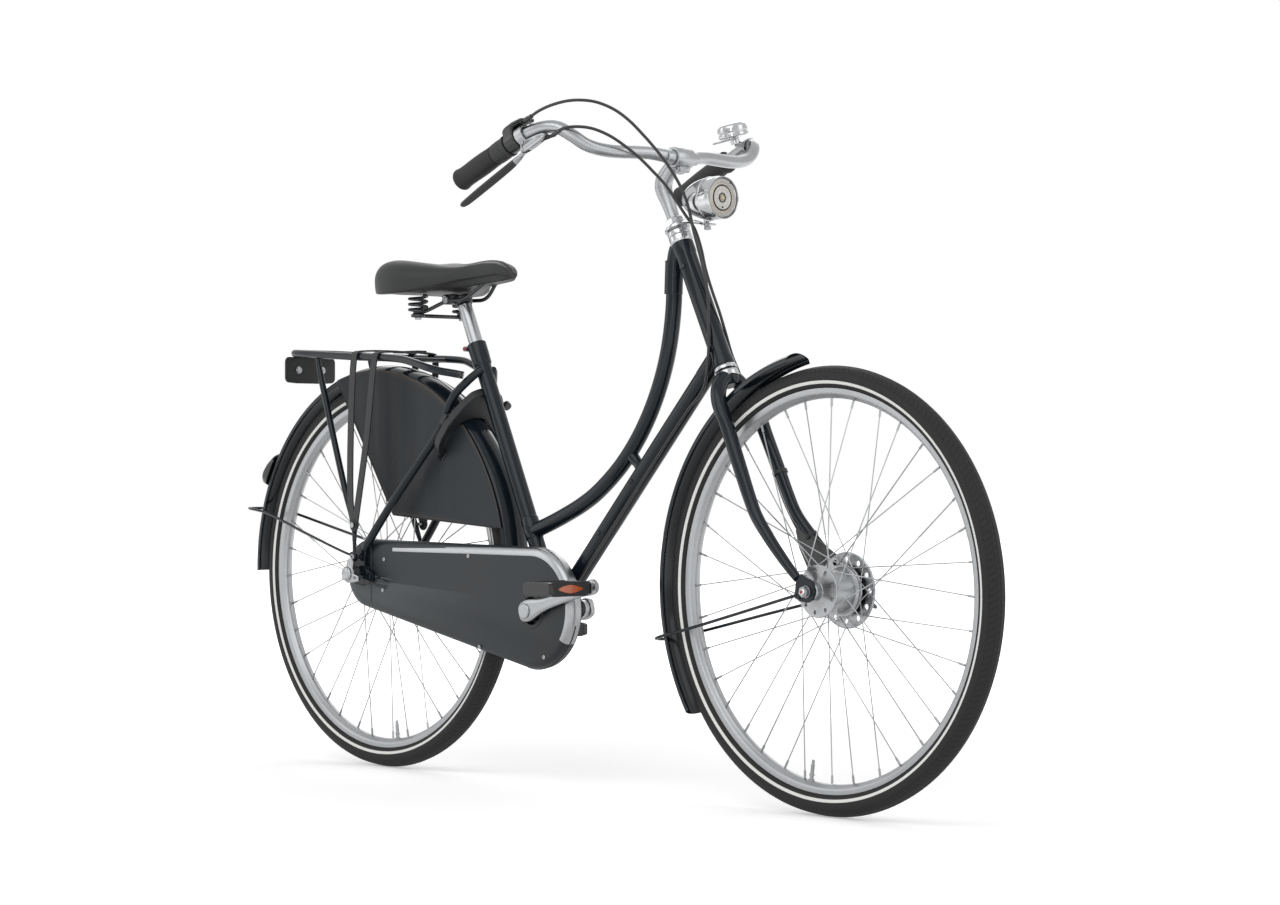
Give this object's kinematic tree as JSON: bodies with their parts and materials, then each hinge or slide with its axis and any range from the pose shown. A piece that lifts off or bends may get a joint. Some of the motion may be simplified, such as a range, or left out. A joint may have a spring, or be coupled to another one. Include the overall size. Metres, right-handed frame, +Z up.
{
  "type": "city bicycle",
  "caption": "Upright city bicycle with a curved step-through frame, full mudguards, coat guards, closed chain case, luggage rack, ring lock, sprung saddle, lamp, bell and hand brake.",
  "frame": {"origin": "the middle of the length and of the width, at the ground under the tyres", "axes": "+X forward in the direction of travel, +Y to the rider's left, +Z up"},
  "size_m": [1.876, 0.5328, 1.1261],
  "materials": {
    "frame_paint": "gloss blue-black enamel",
    "case_paint": "satin dark slate enamel",
    "coat_guard_cloth": "matt dark blue coated cloth",
    "black_plastic": "fine grained black",
    "rubber": "matt dark grey",
    "saddle_skin": "soft matt dark grey cover",
    "chrome": "polished",
    "alloy": "satin",
    "steel": "zinc plated",
    "red_lens": "clear red",
    "clear_lens": "ribbed clear over a pale reflector",
    "tyre": "matt black with a white side stripe"
  },
  "bodies": {
    "frame": {"head_tube": "frame_paint", "top_tube": "frame_paint", "down_tube": "frame_paint", "seat_tube": "frame_paint", "chain_stays": "frame_paint", "seat_stay_left": "frame_paint", "seat_stay_right": "frame_paint", "rear_mudguard": "frame_paint", "rear_mudguard_stay": "frame_paint", "coat_guard_left": "coat_guard_cloth", "coat_guard_right": "coat_guard_cloth", "chain_case": "case_paint", "chain": "steel", "rack": "frame_paint", "luggage_straps": "rubber", "reflector_plate": "black_plastic", "rear_light": "black_plastic", "rear_light_lens": "red_lens", "ring_lock": "black_plastic", "seat_post": "chrome", "saddle_frame": "steel", "saddle_spring_left": "steel", "saddle_spring_right": "steel", "saddle_cover": "saddle_skin", "shift_cable": "rubber", "rear_axle": "steel"},
    "steering_head": {"fork": "frame_paint", "headset_locknut": "chrome", "stem": "alloy", "handlebar": "alloy", "grip_right": "rubber", "grip_left": "rubber", "shifter_housing": "black_plastic", "lever_bracket": "alloy", "shift_cable_loop": "rubber", "brake_cable": "rubber", "lamp_bracket": "chrome", "lamp_shell": "chrome", "lamp_lens": "clear_lens", "bell": "chrome", "front_mudguard": "frame_paint", "front_mudguard_stay": "frame_paint", "front_axle": "steel", "roller_brake": "steel"},
    "front_wheel": {"front_tyre": "tyre", "front_rim": "alloy", "front_hub": "alloy"},
    "rear_wheel": {"rear_tyre": "tyre", "rear_rim": "alloy", "rear_hub": "alloy"},
    "cranks": {"crank_right": "alloy", "crank_left": "alloy"},
    "right_pedal": {"pedal_right": "rubber"},
    "left_pedal": {"pedal_left": "rubber"},
    "driven_sprocket": {"rear_sprocket": "steel"},
    "hand_brake_lever": {"brake_lever": "black_plastic"},
    "front_brake_arm": {"brake_arm": "steel"},
    "gear_twist_sleeve": {"shifter_sleeve": "rubber"},
    "bell_thumb_lever": {"bell_lever": "alloy"},
    "lock_bolt": {"lock_shackle": "steel"}
  },
  "joints": [
    {"name": "steering", "type": "hinge", "parent": "frame", "child": "steering_head", "pos_m": [0.35681, 0, 0.69471], "axis": [-0.4376, 0, 0.8992], "range_deg": [-45, 45], "deforming": ["shift_cable"]},
    {"name": "front_wheel_spin", "type": "hinge", "parent": "steering_head", "child": "front_wheel", "pos_m": [0.58971, 0, 0.34831], "axis": [0, 1, 0], "continuous": true},
    {"name": "rear_wheel_spin", "type": "hinge", "parent": "frame", "child": "rear_wheel", "pos_m": [-0.52419, 0, 0.34831], "axis": [0, 1, 0], "continuous": true},
    {"name": "crank_spin", "type": "hinge", "parent": "frame", "child": "cranks", "pos_m": [-0.05669, 0, 0.29722], "axis": [0, 1, 0], "continuous": true},
    {"name": "right_pedal_spin", "type": "hinge", "parent": "cranks", "child": "right_pedal", "pos_m": [0.10784, -0.1415, 0.34192], "axis": [0, 1, 0], "continuous": true},
    {"name": "left_pedal_spin", "type": "hinge", "parent": "cranks", "child": "left_pedal", "pos_m": [-0.22123, 0.1415, 0.25251], "axis": [0, 1, 0], "continuous": true},
    {"name": "sprocket_spin", "type": "hinge", "parent": "frame", "child": "driven_sprocket", "pos_m": [-0.52419, -0.043, 0.34831], "axis": [0, 1, 0], "continuous": true},
    {"name": "brake_lever_pull", "type": "hinge", "parent": "steering_head", "child": "hand_brake_lever", "pos_m": [0.13909, -0.23796, 1.05063], "axis": [-0.0676, 0.9977, 0], "range_deg": [0, 8], "stiffness_Nm_per_rad": 1.2, "springref_deg": -6.88},
    {"name": "brake_arm_swing", "type": "hinge", "parent": "steering_head", "child": "front_brake_arm", "pos_m": [0.58971, 0.0465, 0.34831], "axis": [0, 1, 0], "range_deg": [0, 12]},
    {"name": "gear_twist", "type": "hinge", "parent": "steering_head", "child": "gear_twist_sleeve", "pos_m": [0.08694, -0.24149, 1.05305], "axis": [0.9155, 0.062, 0.3975], "range_deg": [0, 75]},
    {"name": "bell_thumb_press", "type": "hinge", "parent": "steering_head", "child": "bell_thumb_lever", "pos_m": [0.16781, 0.2045, 1.09231], "axis": [-0.1203, -0.2005, 0.9723], "range_deg": [0, 30], "stiffness_Nm_per_rad": 0.04, "springref_deg": -14.32},
    {"name": "lock_bolt_close", "type": "hinge", "parent": "frame", "child": "lock_bolt", "pos_m": [-0.31652, 0, 0.60477], "axis": [-0.7771, 0, 0.6293], "range_deg": [0, 94]}
  ],
  "couplings": [
    {"joint": "sprocket_spin", "follows": "crank_spin", "ratio": 2},
    {"joint": "brake_arm_swing", "follows": "brake_lever_pull", "ratio": 1.5}
  ]
}
